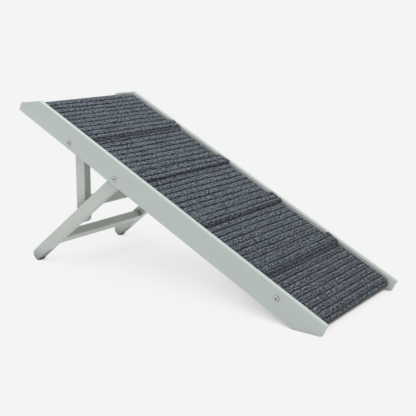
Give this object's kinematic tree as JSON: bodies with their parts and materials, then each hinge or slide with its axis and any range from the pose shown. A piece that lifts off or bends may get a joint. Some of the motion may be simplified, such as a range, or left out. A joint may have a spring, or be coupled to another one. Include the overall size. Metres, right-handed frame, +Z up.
{
  "type": "pet ramp",
  "caption": "Folding indoor pet ramp: ribbed carpet deck between two painted wooden side rails, held at a slope by a hinged leg frame and a forked brace frame.",
  "frame": {"origin": "on the floor, at the middle of the ramp's length and width, with the ramp standing open", "axes": "+X along the length, towards the low end; +Y across the width, towards the far side; +Z up"},
  "size_m": [1.022, 0.4228, 0.4854],
  "materials": {
    "painted_wood": "satin sage-grey paint",
    "plywood": "bare birch plywood",
    "bare_wood": "bare pine",
    "carpet": "ribbed heathered blue-grey carpet",
    "rubber": "matt black rubber",
    "steel": "bright zinc plate",
    "nylon": "grey nylon"
  },
  "bodies": {
    "ramp_deck": {"near_side_rail": "painted_wood", "far_side_rail": "painted_wood", "deck_board": "plywood", "landing_board": "plywood", "tread_cleat_1": "bare_wood", "tread_cleat_2": "bare_wood", "tread_cleat_3": "bare_wood", "tread_cleat_4": "bare_wood", "carpet": "carpet", "nose_rail": "bare_wood", "ridge_batten": "painted_wood", "low_cross_batten": "painted_wood", "near_batten_bolt": "steel", "far_batten_bolt": "steel", "near_barrel_nut": "steel", "far_barrel_nut": "steel"},
    "leg_frame": {"near_leg": "painted_wood", "far_leg": "painted_wood", "leg_crossbar": "painted_wood", "near_foot_pad": "rubber", "far_foot_pad": "rubber", "near_leg_bolt": "steel", "far_leg_bolt": "steel", "near_leg_insert": "steel", "far_leg_insert": "steel", "near_leg_washer": "nylon", "far_leg_washer": "nylon", "near_brace_pin": "steel", "far_brace_pin": "steel", "leg_crossbar_near_dowel_1": "bare_wood", "leg_crossbar_near_dowel_2": "bare_wood", "leg_crossbar_far_dowel_1": "bare_wood", "leg_crossbar_far_dowel_2": "bare_wood"},
    "brace_frame": {"near_brace_post": "painted_wood", "far_brace_post": "painted_wood", "brace_crossbar": "painted_wood", "near_brace_bolt": "steel", "far_brace_bolt": "steel", "near_brace_post_insert": "steel", "far_brace_post_insert": "steel", "near_brace_sleeve": "nylon", "far_brace_sleeve": "nylon", "brace_crossbar_near_dowel_1": "bare_wood", "brace_crossbar_near_dowel_2": "bare_wood", "brace_crossbar_far_dowel_1": "bare_wood", "brace_crossbar_far_dowel_2": "bare_wood"}
  },
  "joints": [
    {"name": "leg_fold", "type": "hinge", "parent": "ramp_deck", "child": "leg_frame", "pos_m": [-0.14161, 0, 0.29367], "axis": [0, -1, 0], "range_deg": [0, 114.5]},
    {"name": "brace_fold", "type": "hinge", "parent": "ramp_deck", "child": "brace_frame", "pos_m": [-0.30969, 0, 0.37564], "axis": [0, -1, 0], "range_deg": [0, 64]}
  ],
  "couplings": [
    {"joint": "brace_fold", "follows": "leg_fold", "ratio": 0.55895}
  ]
}
